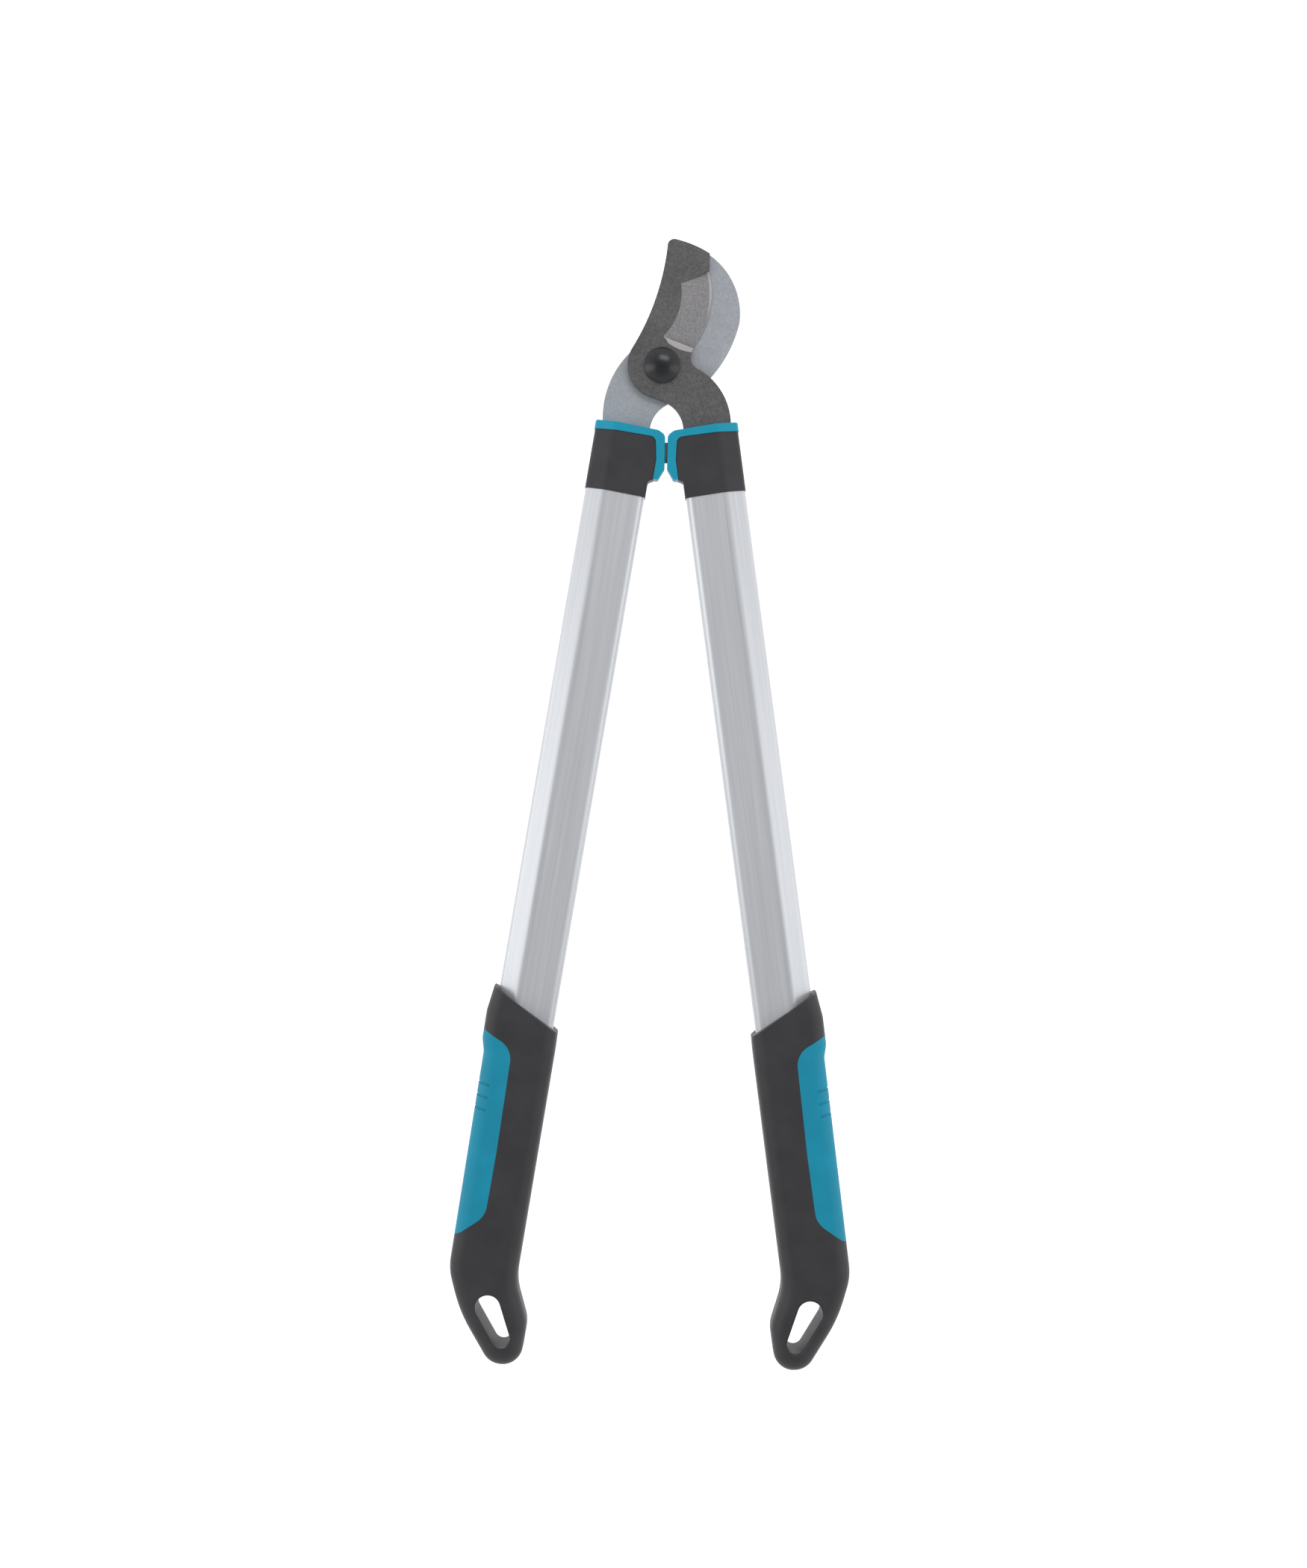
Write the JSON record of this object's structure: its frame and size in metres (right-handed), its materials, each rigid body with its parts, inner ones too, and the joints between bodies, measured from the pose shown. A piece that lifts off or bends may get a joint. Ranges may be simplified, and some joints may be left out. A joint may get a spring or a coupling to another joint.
{
  "type": "bypass loppers",
  "caption": "Closed bypass loppers: a convex cutting blade passes a hooked counter blade on one pivot bolt; tapered tube handles with padded grips and rubber stops.",
  "frame": {"origin": "on the pivot bolt's axis, at its flat rear end, in the plane that the loppers lie on", "axes": "+Z out of the front face along the pivot bolt, +Y along the middle of the closed handles towards the blade tips, +X to the right seen from the front"},
  "size_m": [0.2408, 0.6808, 0.03],
  "materials": {
    "bright_steel": "satin",
    "coated_steel": "matt non-stick coating",
    "black_steel": "gloss black",
    "bare_steel": "zinc plated",
    "tube_aluminium": "satin anodised",
    "dark_plastic": "fine grain",
    "grip_plastic": "fine grain",
    "blue_plastic": "satin",
    "blue_soft": "matt soft plastic",
    "black_rubber": "matt",
    "core_plastic": "plain"
  },
  "bodies": {
    "left_half": {"counter_blade": "bright_steel", "pivot_bolt": "black_steel", "pivot_nut": "black_steel", "pivot_bush": "bare_steel", "pivot_washer": "bare_steel", "left_tube": "tube_aluminium", "left_collar": "dark_plastic", "left_collar_trim": "blue_plastic", "left_bumper": "black_rubber", "left_tang_core_front": "core_plastic", "left_tang_core_rear": "core_plastic", "left_tang_rivets": "bare_steel", "left_grip": "grip_plastic", "left_grip_pad": "blue_soft", "left_tube_plug": "core_plastic"},
    "right_half": {"cutting_blade": "coated_steel", "right_tube": "tube_aluminium", "right_collar": "dark_plastic", "right_collar_trim": "blue_plastic", "right_bumper": "black_rubber", "right_tang_core_front": "core_plastic", "right_tang_core_rear": "core_plastic", "right_tang_rivets": "bare_steel", "right_grip": "grip_plastic", "right_grip_pad": "blue_soft", "right_tube_plug": "core_plastic"}
  },
  "joints": [
    {"name": "blade_pivot", "type": "hinge", "parent": "left_half", "child": "right_half", "pos_m": [0, 0, 0.015], "axis": [0, 0, 1], "range_deg": [0, 60]}
  ]
}
